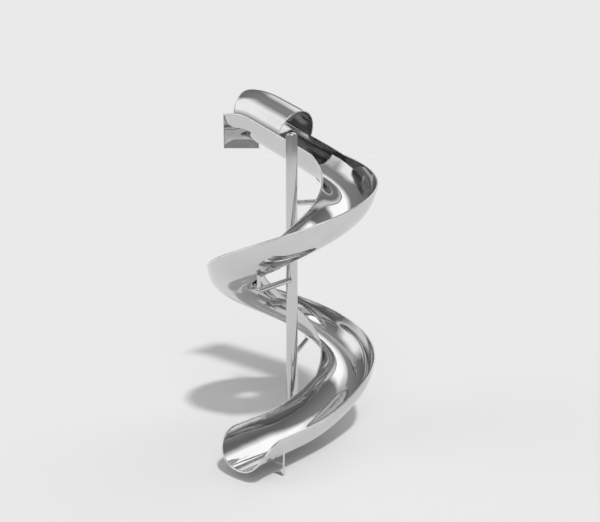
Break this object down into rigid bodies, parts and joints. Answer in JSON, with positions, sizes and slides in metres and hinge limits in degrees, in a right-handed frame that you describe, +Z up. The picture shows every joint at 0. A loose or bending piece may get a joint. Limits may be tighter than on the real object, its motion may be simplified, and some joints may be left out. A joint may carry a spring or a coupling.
{
  "type": "spiral slide",
  "caption": "Polished stainless steel spiral slide: half-round open trough with a short hood at its deck mouth, coiled round a post on radial arms.",
  "frame": {"origin": "on the centre post's axis at the underside of its base plate, which is ground level", "axes": "+Z up along the post; +X is the heading of the straight entry; the exit chute leaves towards -Y"},
  "size_m": [2.9195, 3.031, 4.7553],
  "materials": {
    "sheet_steel": "mirror-polished stainless sheet",
    "rail_steel": "bright polished stainless tube",
    "tube_steel": "polished stainless tube and plate",
    "foot_steel": "fine brushed stainless flat bar",
    "galvanised_steel": "hot-dip galvanised plate"
  },
  "bodies": {
    "root": {"base_plate": "galvanised_steel", "base_gussets": "galvanised_steel", "post_tube": "tube_steel", "post_cap": "tube_steel", "arm_upper": "tube_steel", "arm_middle": "tube_steel", "arm_lower": "tube_steel", "arm_cap_upper": "tube_steel", "arm_cap_middle": "tube_steel", "arm_cap_lower": "tube_steel", "saddle_web_upper": "tube_steel", "saddle_web_middle": "tube_steel", "saddle_web_lower": "tube_steel", "saddle_plate_upper": "tube_steel", "saddle_plate_middle": "tube_steel", "saddle_plate_lower": "tube_steel", "saddle_nuts": "tube_steel", "entry_chute": "sheet_steel", "bend_1": "sheet_steel", "bend_2": "sheet_steel", "bend_3": "sheet_steel", "bend_4": "sheet_steel", "bend_5": "sheet_steel", "bend_6": "sheet_steel", "bend_7": "sheet_steel", "exit_chute": "sheet_steel", "outer_rail_entry": "rail_steel", "outer_rail_upper": "rail_steel", "outer_rail_middle": "rail_steel", "outer_rail_lower": "rail_steel", "inner_rail_entry": "rail_steel", "inner_rail_upper": "rail_steel", "inner_rail_middle": "rail_steel", "inner_rail_lower": "rail_steel", "lip_bead": "rail_steel", "hood_shell": "sheet_steel", "hood_bead_upper": "rail_steel", "hood_bead_lower": "rail_steel", "entry_plate": "sheet_steel", "exit_leg_left": "foot_steel", "exit_leg_right": "foot_steel", "exit_foot_left": "foot_steel", "exit_foot_right": "foot_steel", "exit_brace_left": "foot_steel", "exit_brace_right": "foot_steel"}
  },
  "joints": []
}
